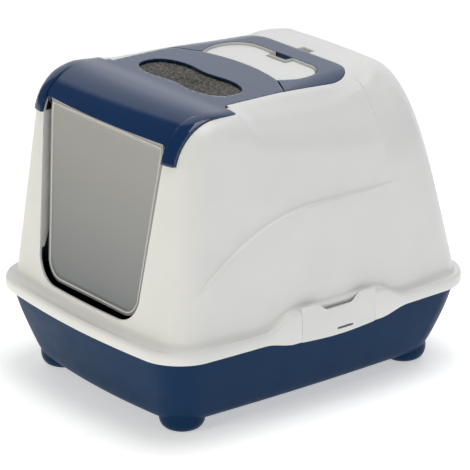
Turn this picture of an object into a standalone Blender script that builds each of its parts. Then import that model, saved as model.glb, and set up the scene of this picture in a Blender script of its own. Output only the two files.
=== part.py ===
"""Cat litter box with hood: tray, hood, flip lid, swing door, handle, side clips and filter.

Metres, +Z up. The door faces -Y, the width runs along X, and the origin is the centre of the
footprint on the floor. Run it with Blender 4.5: blender --background --python part.py
"""
import math

import bmesh
import bpy
import numpy as np
from mathutils import Matrix, Vector

GAP = 0.0004                 # clearance between neighbouring pieces
WELD = 0.000004
FLAT = math.radians(0.1)     # faces within this angle count as one flat face

# Hood: walls measured at the height WALL_BASE
WALL_BASE = 0.140
SIDE_HALF = 0.185            # half width of the hood
SIDE_LEAN = 0.080            # inward lean of the side walls
SIDE_BOW = 0.0146            # how far the side walls recede at the ends
FRONT_Y = 0.2297
FRONT_LEAN = 0.1208
FRONT_BOW = 0.0143
REAR_Y = 0.2419
REAR_LEAN = 0.1835
REAR_BOW = 0.0244
BOW_HALF = 0.178             # half width at which the front and rear bows are reached
ARCH_START = 0.100           # where the deck starts to roll down to the rear wall
ARCH_FLOOR = 0.090
ARCH_POWER = 5.3
ARCH_RISE = 0.0040
DECK_Z = 0.3877
DECK_REAR_FALL = 0.026
DECK_CROWN = 0.0147
SHOULDER_START = 0.118       # beyond this half width the deck slopes down to the sides
SHOULDER_RUN = 0.035
SHOULDER_DROP = 0.0121
SHOULDER_FRONT = -0.110
FRONT_ROUND = 0.0514
ROUND_BASE = 0.025
ROUND_TOP_FRONT = 0.028
ROUND_TOP_REAR = 0.0794
HOOD_WALL = 0.0030

# Skirt: the rim of the hood that covers the edge of the tray
RIM_HALF_X = 0.1957
RIM_HALF_Y = 0.2500
RIM_ROUND = 0.047
RIM_BOW_X = 0.007
RIM_BOW_Y = 0.015
RIM_LOW = 0.1080
RIM_TOP = 0.1235
SWELL_TOP = 0.0165           # the skirt rises by this beside the clips
SWELL_LOW = 0.0080           # and hangs down by this
CLIP_Y = 0.009               # middle of a clip along the side
CLIP_HALF = 0.057
CLIP_THICK = 0.0034
CLIP_TOP = 0.1430
CLIP_DIP = 0.0105            # depth of the finger dip in a clip's upper edge
CLIP_LOW = 0.0995
CLIP_AXIS = (0.1932, 0.1415)

# Tray
TRAY_TOP = (0.1857, 0.2385, 0.1165)
TRAY_LIP = 0.0025
TRAY_FLOOR = 0.0145
TRAY_WALL = 0.0030
TRAY_ROUND = 0.036
FOOT = (0.124, 0.175)
FOOT_RADIUS = 0.0285

# Door opening and swing door
OPEN_TOP_HALF = 0.1215
OPEN_TOP_Z = 0.340
OPEN_TAPER = 0.1056
OPEN_LOW = 0.1340
OPEN_ROUND = 0.038
REVEAL_DEPTH = 0.0195
REVEAL_WALL = 0.0025
REVEAL_LOW = 0.170
DOOR_INSET = 0.0080
DOOR_LOW = 0.1365
DOOR_ROUND = 0.029
DOOR_RECESS = 0.0125
DOOR_THICK = 0.0028
DOOR_AXIS = (-0.1892, 0.3570)
DOOR_KNUCKLE = 0.0027

# Flip lid
LID_THICK = 0.0025
LID_PROUD = 0.0022           # the lid stands this far above the hood at the front
LID_FRONT_HALF = 0.1415
LID_REAR_HALF = 0.1133
LID_STEP_Y = -0.1060
LID_REAR_Y = 0.0178
LID_REAR_CURVE = 1.9
LID_CORNER = (0.0745, -0.0125)
LID_TIP_Z = 0.3390
LID_LIP_Z = 0.3595
LID_ARM_INNER = 0.1214
LID_AXIS = (-0.0165, 0.3825)
LEDGE_REACH = 0.0055
SEAT_FRONT = -0.0985
SEAT_REAR = -0.0260
SEAT_Z = 0.3830
WALL_MID = 0.3859            # a level inside the hood's wall all over the deck

# Handle
HANDLE_HALF = 0.1133
HANDLE_REAR = 0.1080
HANDLE_ROUND = 0.050
GRIP_HALF = 0.0870
GRIP_REAR = 0.0800
GRIP_ROUND = 0.036
HANDLE_DEPTH = 0.0075
HANDLE_AXIS = (0.0136, 0.3815)
POCKET_FLOOR = 0.3745
ISLAND_LOW = 0.3838          # just under the deck inside the handle
POCKET_FRONT = 0.0185        # in front of this the well has no floor
NOTCH_HALF = 0.0165          # half width of the finger notch under the handle's bow
NOTCH_DEPTH = 0.0125
REAR_NOTCH = (0.0115, 0.1195, 0.3800)    # half width, rear edge and floor of the one behind it
PIN_RADIUS = 0.0020

# Filter
FILTER_CENTRE_Y = -0.0670
FILTER_HALF_X = 0.0870
FILTER_HALF_Y = 0.0335
FILTER_WAIST = 0.23
FILTER_WAIST_RUN = 0.036
FILTER_TOP = 0.3835
FILTER_LOW = 0.3745
HOLDER_TOP = 0.3846
HOLDER_LOW = 0.3718

# How finely the hood's skin is sampled: level rings at these heights, then rings
# at these angles above the last one
COLUMNS_PER_CORNER = 4
HEIGHTS = (0.145, 0.185, 0.225)
ELEVATIONS = (14, 24, 30, 34, 38, 42, 46, 50, 54, 58, 70)


# ---------------------------------------------------------------- scene helpers

def clear_scene():
    for item in list(bpy.data.objects):
        bpy.data.objects.remove(item, do_unlink=True)


def new_collection(name):
    collection = bpy.data.collections.new(name)
    bpy.context.scene.collection.children.link(collection)
    return collection


def principled(name, colour, roughness, transmission=0.0):
    material = bpy.data.materials.new(name)
    material.use_nodes = True
    shader = material.node_tree.nodes["Principled BSDF"]
    shader.inputs["Base Color"].default_value = (*colour, 1.0)
    shader.inputs["Roughness"].default_value = roughness
    shader.inputs["Transmission Weight"].default_value = transmission
    material.diffuse_color = (*colour, 1.0)
    return material


def add_object(name, mesh, collection):
    item = bpy.data.objects.new(name, mesh)
    collection.objects.link(item)
    return item


def as_cutter(item):
    item.hide_render = True
    item.display_type = "WIRE"
    return item


def loft(name, rings, collection, cap_start=False, cap_end=False, closed=True):
    """Skin a list of rings, each a list of points, with quads."""
    mesh = bmesh.new()
    rows = [[mesh.verts.new(point) for point in ring] for ring in rings]
    count = len(rings[0])
    spans = count if closed else count - 1
    for lower, upper in zip(rows, rows[1:]):
        for i in range(spans):
            j = (i + 1) % count
            mesh.faces.new((lower[i], lower[j], upper[j], upper[i]))
    if cap_start:
        mesh.faces.new(list(reversed(rows[0])))
    if cap_end:
        mesh.faces.new(rows[-1])
    bmesh.ops.recalc_face_normals(mesh, faces=mesh.faces)
    data = bpy.data.meshes.new(name)
    mesh.to_mesh(data)
    mesh.free()
    return add_object(name, data, collection)


def prism(name, outline, low, high, collection, axis="Z"):
    """A flat outline extruded between two heights along an axis."""
    curve = bpy.data.curves.new(name, "CURVE")
    curve.dimensions = "2D"
    curve.fill_mode = "BOTH"
    curve.extrude = (high - low) / 2
    spline = curve.splines.new("POLY")
    spline.points.add(len(outline) - 1)
    for point, (a, b) in zip(spline.points, outline):
        point.co = (a, b, 0.0, 1.0)
    spline.use_cyclic_u = True
    guide = add_object(name + "_outline", curve, collection)
    middle = (high + low) / 2
    placing = {
        "Z": Matrix.Translation((0, 0, middle)),
        "Y": Matrix.Translation((0, middle, 0)) @ Matrix.Rotation(math.pi / 2, 4, "X"),
        "X": Matrix.Translation((middle, 0, 0)) @ Matrix(((0, 0, 1, 0), (1, 0, 0, 0),
                                                         (0, 1, 0, 0), (0, 0, 0, 1))),
    }[axis]
    graph = bpy.context.evaluated_depsgraph_get()
    data = bpy.data.meshes.new_from_object(guide.evaluated_get(graph))
    bpy.data.objects.remove(guide, do_unlink=True)
    mesh = bmesh.new()
    mesh.from_mesh(data)
    bmesh.ops.remove_doubles(mesh, verts=mesh.verts, dist=1e-6)
    bmesh.ops.transform(mesh, matrix=placing, verts=mesh.verts)
    bmesh.ops.recalc_face_normals(mesh, faces=mesh.faces)
    mesh.to_mesh(data)
    mesh.free()
    return add_object(name, data, collection)


def box(name, low, high, collection):
    mesh = bmesh.new()
    bmesh.ops.create_cube(mesh, size=1.0)
    size = Vector(high) - Vector(low)
    middle = (Vector(high) + Vector(low)) / 2
    bmesh.ops.scale(mesh, vec=size, verts=mesh.verts)
    bmesh.ops.translate(mesh, vec=middle, verts=mesh.verts)
    data = bpy.data.meshes.new(name)
    mesh.to_mesh(data)
    mesh.free()
    return add_object(name, data, collection)


def rod(name, radius, start, end, y, z, collection, segments=12):
    """A round pin along X."""
    mesh = bmesh.new()
    bmesh.ops.create_cone(mesh, cap_ends=True, segments=segments, radius1=radius,
                          radius2=radius, depth=abs(end - start))
    turn = Matrix.Rotation(math.pi / 2, 4, "Y")
    place = Matrix.Translation(((start + end) / 2, y, z))
    bmesh.ops.transform(mesh, matrix=place @ turn, verts=mesh.verts)
    data = bpy.data.meshes.new(name)
    mesh.to_mesh(data)
    mesh.free()
    return add_object(name, data, collection)


def tidy(data):
    """Weld and triangulate a mesh, so that a Boolean meets only flat faces."""
    mesh = bmesh.new()
    mesh.from_mesh(data)
    bmesh.ops.remove_doubles(mesh, verts=mesh.verts, dist=WELD)
    bmesh.ops.dissolve_degenerate(mesh, edges=mesh.edges, dist=WELD)
    bmesh.ops.dissolve_limit(mesh, angle_limit=FLAT, verts=mesh.verts, edges=mesh.edges)
    bmesh.ops.triangulate(mesh, faces=mesh.faces)
    mesh.to_mesh(data)
    mesh.free()


def combine(target, tool, operation):
    """Apply a Boolean of the tool to the target, and remove the tool."""
    tidy(target.data)
    tidy(tool.data)
    modifier = target.modifiers.new(operation, "BOOLEAN")
    modifier.operation = operation
    modifier.object = tool
    modifier.solver = "EXACT"
    graph = bpy.context.evaluated_depsgraph_get()
    data = bpy.data.meshes.new_from_object(target.evaluated_get(graph))
    target.modifiers.clear()
    target.data = data
    bpy.data.objects.remove(tool, do_unlink=True)
    return target


def apply_all(item):
    graph = bpy.context.evaluated_depsgraph_get()
    data = bpy.data.meshes.new_from_object(item.evaluated_get(graph))
    item.modifiers.clear()
    item.data = data
    return item


def thicken(item, thickness):
    modifier = item.modifiers.new("wall", "SOLIDIFY")
    modifier.thickness = thickness
    modifier.offset = -1.0
    modifier.use_even_offset = True
    modifier.use_quality_normals = True
    return apply_all(item)


def finish(item, name, collection, material, pivot=(0.0, 0.0, 0.0)):
    """Name a finished piece, clean its mesh and put its origin on its joint."""
    tidy(item.data)
    item.data.transform(Matrix.Translation(-Vector(pivot)))
    item.data.materials.clear()
    item.data.materials.append(material)
    item.data.shade_smooth()
    item.data.set_sharp_from_angle(angle=math.radians(32))
    item.name = name
    item.location = pivot
    for owner in list(item.users_collection):
        owner.objects.unlink(item)
    collection.objects.link(item)
    return item


# ---------------------------------------------------------------- shape of the hood

def smooth(t):
    t = np.clip(t, 0.0, 1.0)
    return t * t * (3.0 - 2.0 * t)


def round_max(a, b, radius):
    """The larger of two distances, with a round corner where they meet."""
    inner_a = np.maximum(a + radius, 0.0)
    inner_b = np.maximum(b + radius, 0.0)
    rounded = np.sqrt(inner_a ** 2 + inner_b ** 2) - radius
    both = (inner_a > 0) & (inner_b > 0)
    return np.where(both, rounded, np.maximum(a, b))


def deck_height(x, y):
    half = np.abs(x)
    slope = smooth((half - SHOULDER_START) / SHOULDER_RUN)
    slope = slope * smooth((y - SHOULDER_FRONT) / 0.03)
    fall = DECK_REAR_FALL * np.maximum(y - 0.03, 0.0) ** 2
    return DECK_Z - DECK_CROWN * half ** 2 - fall - SHOULDER_DROP * slope


def hood_field(x, y, z):
    """About the distance outside the hood's outer skin: negative inside."""
    half = np.abs(x)
    rise = z - WALL_BASE
    side = half - (SIDE_HALF - SIDE_LEAN * rise - SIDE_BOW * (y / 0.235) ** 2)
    bow = (half / BOW_HALF) ** 2
    front = -y - (FRONT_Y - FRONT_LEAN * rise - FRONT_BOW * bow)
    rear_edge = REAR_Y - REAR_LEAN * rise - REAR_BOW * bow
    reach = np.maximum(y - ARCH_START, 0.0) / (rear_edge - ARCH_START)
    lift = np.maximum(z - ARCH_FLOOR, 0.0) / (DECK_Z + ARCH_RISE - ARCH_FLOOR)
    arch = ((reach ** ARCH_POWER + lift ** ARCH_POWER) ** (1 / ARCH_POWER) - 1.0) * 0.15
    top = np.where(reach > 0, np.maximum(z - deck_height(x, y), arch), z - deck_height(x, y))
    top = round_max(top, front, FRONT_ROUND)
    round_top = ROUND_TOP_FRONT + (ROUND_TOP_REAR - ROUND_TOP_FRONT) * smooth((y + 0.15) / 0.25)
    share = np.clip(rise / 0.24, 0.0, 1.2)
    radius = ROUND_BASE + (round_top - ROUND_BASE) * share
    return round_max(top, side, radius)


def cast(origins, directions, offset):
    """Where rays from inside the hood meet its skin, moved outward by an offset."""
    near = np.zeros(len(origins))
    far = np.full(len(origins), 0.34)
    for _ in range(40):
        middle = (near + far) / 2
        points = origins + directions * middle[:, None]
        inside = hood_field(*points.T) - offset(points) < 0
        near = np.where(inside, middle, near)
        far = np.where(inside, far, middle)
    return origins + directions * near[:, None]


def flat_offset(value):
    return lambda points: np.full(len(points), value)


def lid_offset(value):
    """The lid's skin: level with the deck behind, proud of the hood in front."""
    return lambda points: value + LID_PROUD * smooth((-points[:, 1] - 0.105) / 0.035)


def rim_outline(half_x, half_y, radius, bow_x, bow_y, per_corner=COLUMNS_PER_CORNER, per_side=6):
    """A rounded rectangle whose four sides bulge outward, counter-clockwise."""
    points = []
    corners = [(1, 1, 0), (-1, 1, 90), (-1, -1, 180), (1, -1, 270)]
    for sx, sy, start in corners:
        for i in range(per_corner + 1):
            angle = math.radians(start + 90 * i / per_corner)
            points.append((sx * (half_x - radius) + radius * math.cos(angle),
                           sy * (half_y - radius) + radius * math.sin(angle)))
    full = []
    for i, point in enumerate(points):
        full.append(point)
        after = points[(i + 1) % len(points)]
        if (i + 1) % (per_corner + 1) == 0:
            for k in range(1, per_side):
                t = k / per_side
                full.append((point[0] + (after[0] - point[0]) * t,
                             point[1] + (after[1] - point[1]) * t))
    bowed = []
    for x, y in full:
        bowed.append((x - math.copysign(bow_x, x) * (y / half_y) ** 2 * min(1, abs(x) / 0.08),
                      y - math.copysign(bow_y, y) * (x / half_x) ** 2 * min(1, abs(y) / 0.08)))
    return np.array(bowed)


def swell(points):
    """1 beside a clip, fading to 0 along the side."""
    along = np.abs(points[:, 1] - CLIP_Y)
    on_side = smooth((np.abs(points[:, 0]) - 0.15) / 0.03)
    return on_side * (1.0 - smooth((along - CLIP_HALF - 0.010) / 0.045))


def skin_rings(offset, heights, elevations):
    """Rings up the hood's skin: level ones first, then a fan up to the crown."""
    plan = rim_outline(RIM_HALF_X, RIM_HALF_Y, RIM_ROUND, RIM_BOW_X, RIM_BOW_Y)
    heading = plan / np.linalg.norm(plan, axis=1)[:, None]
    rings = []
    level = np.column_stack([heading, np.zeros(len(plan))])
    for height in heights:
        origin = np.tile((0.0, 0.0, height), (len(plan), 1))
        rings.append(cast(origin, level, offset))
    for degrees in elevations:
        angle = math.radians(degrees)
        upward = np.full(len(plan), math.sin(angle))
        direction = np.column_stack([heading * math.cos(angle), upward])
        origin = np.tile((0.0, 0.0, heights[-1]), (len(plan), 1))
        rings.append(cast(origin, direction, offset))
    return rings


def skin_body(name, offset, floor, collection):
    """A solid with the hood's outer shape, moved outward by an offset."""
    rings = skin_rings(offset, (floor,) + tuple(h for h in HEIGHTS if h > floor), ELEVATIONS)
    return loft(name, rings, collection, cap_start=True, cap_end=True)


# ---------------------------------------------------------------- outlines

def arc(centre, radius, start, end, count):
    points = []
    for i in range(count + 1):
        angle = math.radians(start + (end - start) * i / count)
        points.append((centre[0] + radius * math.cos(angle),
                       centre[1] + radius * math.sin(angle)))
    return points


def lid_outline(grow):
    """The lid seen from above, grown outward."""
    front = -0.30
    step = LID_STEP_Y + grow
    side = LID_REAR_HALF + grow
    corner_x, corner_y = LID_CORNER
    right = [(LID_FRONT_HALF + grow, front), (LID_FRONT_HALF + grow, step - 0.006)]
    right += arc((LID_FRONT_HALF + grow - 0.004, step - 0.004), 0.004, 0, 90, 3)
    right += [(side + 0.006, step), (side, step + 0.007), (side, corner_y + grow * 0.5)]
    rear_side = LID_REAR_Y - LID_REAR_CURVE * corner_x ** 2
    right += [(corner_x + grow * 0.5, rear_side + grow)]
    tongue = []
    for i in range(1, 8):
        x = corner_x * (1 - i / 4)
        tongue.append((x, LID_REAR_Y - LID_REAR_CURVE * x * x + grow))
    left = [(-x, y) for x, y in reversed(right)]
    return right + tongue + left


def handle_outline(grow, bite=0.0):
    """The U of the handle seen from above, with its two ends cut beside the lid."""
    outer_half = HANDLE_HALF + grow
    outer_rear = HANDLE_REAR + grow
    inner_half = GRIP_HALF - grow
    inner_rear = GRIP_REAR - grow
    corner_x, corner_y = LID_CORNER
    end = 0.0012
    round_out = HANDLE_ROUND + grow
    round_in = GRIP_ROUND - grow
    points = [(outer_half, corner_y + end + 0.0005 - bite)]
    points += arc((outer_half - round_out, outer_rear - round_out), round_out, 0, 90, 7)
    left = [(-x, y) for x, y in reversed(points)]
    rear_side = LID_REAR_Y - LID_REAR_CURVE * corner_x ** 2
    inner = [(-corner_x - 0.001 + grow, rear_side + end + 0.001 - bite)]
    if bite:
        inner += [(-corner_x - 0.001 + grow, rear_side + end + 0.001)]
    inner += [(-inner_half + 0.0045, 0.022), (-inner_half, 0.036)]
    inner += arc((-inner_half + round_in, inner_rear - round_in), round_in, 180, 90, 5)
    inner += [(-x, y) for x, y in reversed(inner)]
    return points + left + inner


def peanut_outline(grow, count=40):
    """The filter's outline: a long oval with a waist."""
    points = []
    for i in range(count):
        angle = 2 * math.pi * i / count
        cosine = math.cos(angle)
        sine = math.sin(angle)
        x = (FILTER_HALF_X + grow) * math.copysign(abs(cosine) ** 0.78, cosine)
        waist = 1 - FILTER_WAIST * math.exp(-(x / FILTER_WAIST_RUN) ** 2)
        y = (FILTER_HALF_Y * waist + grow) * math.copysign(abs(sine) ** 0.78, sine)
        points.append((x, FILTER_CENTRE_Y + y))
    return points


def opening_outline(inset, low, radius, high):
    """The door opening seen from the front: a tapered U, closed at the height high."""
    def half(z):
        return OPEN_TOP_HALF - OPEN_TAPER * (OPEN_TOP_Z - min(z, OPEN_TOP_Z)) - inset
    centre_z = low + radius
    bottom = half(centre_z)
    right = [(half(high), high), (half(OPEN_TOP_Z), OPEN_TOP_Z)]
    right += arc((bottom - radius, centre_z), radius, 0, -90, 6)
    left = [(-x, z) for x, z in reversed(right)]
    return right + left


# ---------------------------------------------------------------- pieces

def tray_body(name, inset, levels, work):
    """A tray-shaped solid through half widths, half lengths and heights."""
    rings = []
    for a, b, z in levels:
        plan = rim_outline(a - inset, b - inset, TRAY_ROUND, 0.005, 0.011, per_side=4)
        rings.append([(x, y, z) for x, y in plan])
    return loft(name, rings, work, cap_start=True, cap_end=True)


def make_tray(work):
    half_x, half_y, top = TRAY_TOP
    wall = [(0.1600, 0.2145, 0.0255), (0.1690, 0.2220, 0.0480), (0.1780, 0.2310, 0.0780)]
    outside = [(0.1425, 0.1985, TRAY_FLOOR), (0.1525, 0.2080, 0.0165), *wall,
               (half_x, half_y, top - 0.006), (half_x + 0.0006, half_y + 0.0006, top - 0.0015),
               (half_x + TRAY_LIP, half_y + TRAY_LIP, top)]
    room = [(0.1425, 0.1985, TRAY_FLOOR + TRAY_WALL), (0.1525, 0.2080, 0.0205), *wall,
            (half_x, half_y, top - 0.006), (half_x + 0.0006, half_y + 0.0006, top + 0.004)]
    tray = tray_body("tray_outside", 0.0, outside, work)
    for sx in (-1, 1):
        for sy in (-1, 1):
            combine(tray, make_foot(sx, sy, work), "UNION")
    return combine(tray, tray_body("tray_room", TRAY_WALL, room, work), "DIFFERENCE")


def make_foot(sx, sy, work):
    """A rounded foot that grows out of a corner of the tray."""
    profile = [(0.40, 0.0), (0.66, 0.0012), (0.86, 0.0048), (0.97, 0.0100), (1.0, 0.0165),
               (0.98, 0.0260), (0.88, 0.0400)]
    rings = []
    for share, z in profile:
        ring = []
        for i in range(20):
            angle = 2 * math.pi * i / 20
            ring.append((sx * FOOT[0] + share * FOOT_RADIUS * math.cos(angle),
                         sy * FOOT[1] + share * FOOT_RADIUS * math.sin(angle), z))
        rings.append(ring)
    return loft("foot", rings, work, cap_start=True, cap_end=True)


def skirt_rings():
    """The skirt from its lower edge up to the foot of the hood's wall."""
    plan = rim_outline(RIM_HALF_X, RIM_HALF_Y, RIM_ROUND, RIM_BOW_X, RIM_BOW_Y)
    heading = plan / np.linalg.norm(plan, axis=1)[:, None]
    swelling = swell(plan)
    top = RIM_TOP + SWELL_TOP * swelling
    low = RIM_LOW - SWELL_LOW * swelling
    level = np.column_stack([heading, np.zeros(len(plan))])
    wall_z = top + 0.0035
    origin = np.column_stack([np.zeros((len(plan), 2)), wall_z])
    wall = cast(origin, level, flat_offset(0.0))
    rings = [np.column_stack([plan, low])]
    rings.append(np.column_stack([plan, top - 0.0060]))
    inner = plan - heading * 0.0022
    rings.append(np.column_stack([inner, top - 0.0012]))
    between = inner * 0.35 + wall[:, :2] * 0.65
    rings.append(np.column_stack([between, top + 0.0006]))
    rings.append(wall)
    return rings


def make_hood(work):
    rings = skirt_rings() + skin_rings(flat_offset(0.0), HEIGHTS, ELEVATIONS)
    hood = thicken(loft("hood_shell", rings, work, cap_end=True), HOOD_WALL)
    cut_openings(hood, work)
    add_reveal(hood, work)
    add_lid_seat(hood, work)
    add_handle_pocket(hood, work)
    add_bosses(hood, work)
    add_clip_seats(hood, work)
    return hood


def cut_openings(hood, work):
    """The door opening, and the opening above it that the lid closes."""
    outline = opening_outline(0.0, OPEN_LOW, OPEN_ROUND, 0.42)
    combine(hood, prism("doorway", outline, -0.30, -0.100, work, axis="Y"), "DIFFERENCE")
    under = prism("under_lid", lid_outline(GAP), 0.30, 0.42, work)
    combine(under, box("rear_part", (-0.3, SEAT_FRONT, 0.2), (0.3, 0.3, 0.5), work), "INTERSECT")
    combine(hood, under, "DIFFERENCE")
    recess = prism("lid_recess", lid_outline(GAP), LID_TIP_Z - GAP, 0.42, work)
    combine(recess, box("front_part", (-0.3, -0.3, 0.2), (0.3, SEAT_FRONT, 0.5), work), "INTERSECT")
    combine(recess, skin_body("recess_low", lid_offset(-LID_THICK - GAP), 0.100, work), "DIFFERENCE")
    combine(hood, recess, "DIFFERENCE")


def add_reveal(hood, work):
    """Flanges that line the sides of the door opening."""
    for side in (-1, 1):
        inner = opening_outline(0.0, OPEN_LOW, OPEN_ROUND, OPEN_TOP_Z)
        outer = opening_outline(-REVEAL_WALL, OPEN_LOW - REVEAL_WALL,
                                OPEN_ROUND + REVEAL_WALL, OPEN_TOP_Z)
        strip_in = [point for point in inner if side * point[0] > 0 and point[1] > REVEAL_LOW]
        strip_out = [point for point in outer if side * point[0] > 0 and point[1] > REVEAL_LOW]
        strip = strip_in + list(reversed(strip_out))
        flange = prism("flange", strip, -0.26, -0.15, work, axis="Y")
        combine(flange, skin_body("flange_front", flat_offset(-0.0012), 0.105, work), "INTERSECT")
        back = flat_offset(-REVEAL_DEPTH)
        combine(flange, skin_body("flange_back", back, 0.100, work), "DIFFERENCE")
        combine(hood, flange, "UNION")


def mirrored_box(name, low, high, side, work):
    """A box given on the +X side, or its mirror image."""
    ends = sorted((side * low[0], side * high[0]))
    return box(name, (ends[0], low[1], low[2]), (ends[1], high[1], high[2]), work)


def add_lid_seat(hood, work):
    """A ledge along each side of the lid, under its edge."""
    inner = LID_REAR_HALF - LEDGE_REACH
    outer = LID_REAR_HALF + 0.0030
    edge = LID_REAR_HALF + GAP + 0.0001
    for side in (-1, 1):
        low = SEAT_Z - 0.0025
        ledge = mirrored_box("ledge", (inner, SEAT_FRONT, low), (outer, SEAT_REAR, SEAT_Z), side, work)
        riser = mirrored_box("riser", (edge, SEAT_FRONT, low), (outer, SEAT_REAR, WALL_MID), side, work)
        combine(ledge, riser, "UNION")
        combine(hood, ledge, "UNION")


def add_handle_pocket(hood, work):
    """A U-shaped well with a floor, in which the handle lies."""
    floor_low = POCKET_FLOOR - 0.0025
    well = prism("well", handle_outline(0.0030), floor_low, WALL_MID, work)
    combine(well, prism("lid_side", lid_outline(GAP), 0.30, 0.42, work), "DIFFERENCE")
    notch_y = GRIP_REAR - NOTCH_DEPTH
    low = (-NOTCH_HALF - 0.003, notch_y - 0.003, floor_low)
    combine(well, box("notch_wall", low, (NOTCH_HALF + 0.003, GRIP_REAR, WALL_MID), work), "UNION")
    combine(hood, well, "UNION")
    space = handle_outline(GAP + 0.0004, bite=0.004)
    room = prism("space", space, POCKET_FLOOR, 0.42, work)
    low = (-NOTCH_HALF, notch_y, POCKET_FLOOR)
    combine(room, box("notch", low, (NOTCH_HALF, GRIP_REAR + 0.005, 0.42), work), "UNION")
    combine(hood, room, "DIFFERENCE")
    for side in (-1, 1):
        low = (LID_CORNER[0] - 0.0025, -0.0200, 0.3300)
        ends = mirrored_box("ends", low, (HANDLE_HALF + GAP, POCKET_FRONT, ISLAND_LOW), side, work)
        combine(hood, ends, "DIFFERENCE")
    add_rear_notch(hood, work)


def add_rear_notch(hood, work):
    """A shallow pocket in the deck behind the handle, for a fingertip."""
    half, rear, floor = REAR_NOTCH
    low = (-half - 0.003, HANDLE_REAR - 0.005, floor - 0.0025)
    wall = box("rear_wall", low, (half + 0.003, rear + 0.003, WALL_MID), work)
    cut = prism("handle_room", handle_outline(GAP + 0.0004), 0.30, 0.42, work)
    combine(hood, combine(wall, cut, "DIFFERENCE"), "UNION")
    pocket = box("rear_pocket", (-half, HANDLE_REAR - 0.005, floor), (half, rear, 0.42), work)
    combine(hood, pocket, "DIFFERENCE")


def add_bosses(hood, work):
    """A block at each side with the hinge sockets of the lid and the handle."""
    for side in (-1, 1):
        low = (0.1142, LID_AXIS[0] - 0.0050, 0.3767)
        boss = mirrored_box("boss", low, (0.1188, HANDLE_AXIS[0] + 0.0050, WALL_MID), side, work)
        combine(hood, boss, "UNION")
        for y, z in (HANDLE_AXIS, LID_AXIS):
            socket = rod("socket", PIN_RADIUS + GAP, side * 0.1120, side * 0.1168, y, z, work, segments=10)
            combine(hood, socket, "DIFFERENCE")


def side_x(y):
    """Half width of the skirt at a place along the side."""
    return RIM_HALF_X - RIM_BOW_X * (y / RIM_HALF_Y) ** 2


def add_clip_seats(hood, work):
    """A window in the skirt for each clip, with a plate behind it."""
    for side in (-1, 1):
        low_y = CLIP_Y - CLIP_HALF - GAP
        high_y = CLIP_Y + CLIP_HALF + GAP
        ends = sorted((side * 0.1898, side * 0.2100))
        window = box("window", (ends[0], low_y, 0.08), (ends[1], high_y, 0.1442), work)
        combine(hood, window, "DIFFERENCE")
        ends = sorted((side * 0.1866, side * 0.1890))
        plate = box("plate", (ends[0], low_y - 0.003, 0.1200), (ends[1], high_y + 0.003, 0.1450), work)
        combine(hood, plate, "UNION")


def clip_top(y):
    """Upper edge of a clip: two ears with a finger dip between them."""
    t = (y - CLIP_Y) / CLIP_HALF
    dip = smooth((0.62 - abs(t - 0.02)) / 0.30)
    return CLIP_TOP - CLIP_DIP * float(dip)


def make_clip(side, work):
    rows = 7
    stations = np.linspace(CLIP_Y - CLIP_HALF, CLIP_Y + CLIP_HALF, 21)
    rings = []
    for i in range(rows + 1):
        t = i / rows
        ring = []
        for y in stations:
            low = CLIP_LOW - 0.0030 * math.cos((y - CLIP_Y) / CLIP_HALF * math.pi / 2)
            z = low + (clip_top(y) - low) * t
            bulge = 0.0006 * math.sin(math.pi * t)
            ring.append((side * (side_x(y) - 0.0003 + bulge), y, z))
        rings.append(ring if side > 0 else list(reversed(ring)))
    plate = loft("clip_plate", rings, work, closed=False)
    face_out = sum(face.normal.x for face in plate.data.polygons) * side > 0
    if not face_out:
        plate.data.flip_normals()
    clip = thicken(plate, CLIP_THICK)
    low = sorted((side * 0.180, side * 0.210))
    slot = box("slot", (low[0], CLIP_Y - 0.002, 0.1030), (low[1], CLIP_Y + 0.022, 0.1060), work)
    combine(clip, slot, "DIFFERENCE")
    return clip


def make_lid(work):
    lid = prism("lid_blank", lid_outline(0.0), 0.30, 0.42, work)
    combine(lid, skin_body("lid_top", lid_offset(0.0), 0.105, work), "INTERSECT")
    combine(lid, skin_body("lid_low", lid_offset(-LID_THICK), 0.100, work), "DIFFERENCE")
    arms = box("below_arms", (-0.3, -0.3, 0.25), (0.3, 0.3, LID_TIP_Z), work)
    combine(lid, arms, "DIFFERENCE")
    half = LID_ARM_INNER
    combine(lid, box("below_lip", (-half, -0.3, 0.25), (half, 0.3, LID_LIP_Z), work), "DIFFERENCE")
    combine(lid, prism("window", peanut_outline(0.0), 0.36, 0.40, work), "DIFFERENCE")
    for side in (-1, 1):
        add_lid_lugs(lid, side, work)
    return lid


def add_lid_lugs(lid, side, work):
    """Hinge lug at the rear corner and a socket lug for the door in front."""
    near, far = sorted((side * 0.1085, side * 0.1126))
    y, z = LID_AXIS
    lug = box("lug", (near, y - 0.0028, z - 0.0028), (far, y + 0.0020, 0.3866), work)
    combine(lid, lug, "UNION")
    combine(lid, rod("pin", PIN_RADIUS, side * 0.1115, side * 0.1160, y, z, work), "UNION")
    near, far = sorted((side * 0.1148, side * 0.1190))
    y, z = DOOR_AXIS
    cheek = box("cheek", (near, y - 0.0042, z - 0.0042), (far, y + 0.0080, z + 0.024), work)
    combine(cheek, skin_body("cheek_top", lid_offset(-0.001), 0.105, work), "INTERSECT")
    combine(lid, cheek, "UNION")
    combine(lid, rod("hole", PIN_RADIUS + GAP, side * 0.1140, side * 0.1178, y, z, work), "DIFFERENCE")


def door_face(z):
    """Front face of the door at its middle."""
    return -(FRONT_Y - FRONT_LEAN * (z - WALL_BASE)) + DOOR_RECESS


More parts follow.
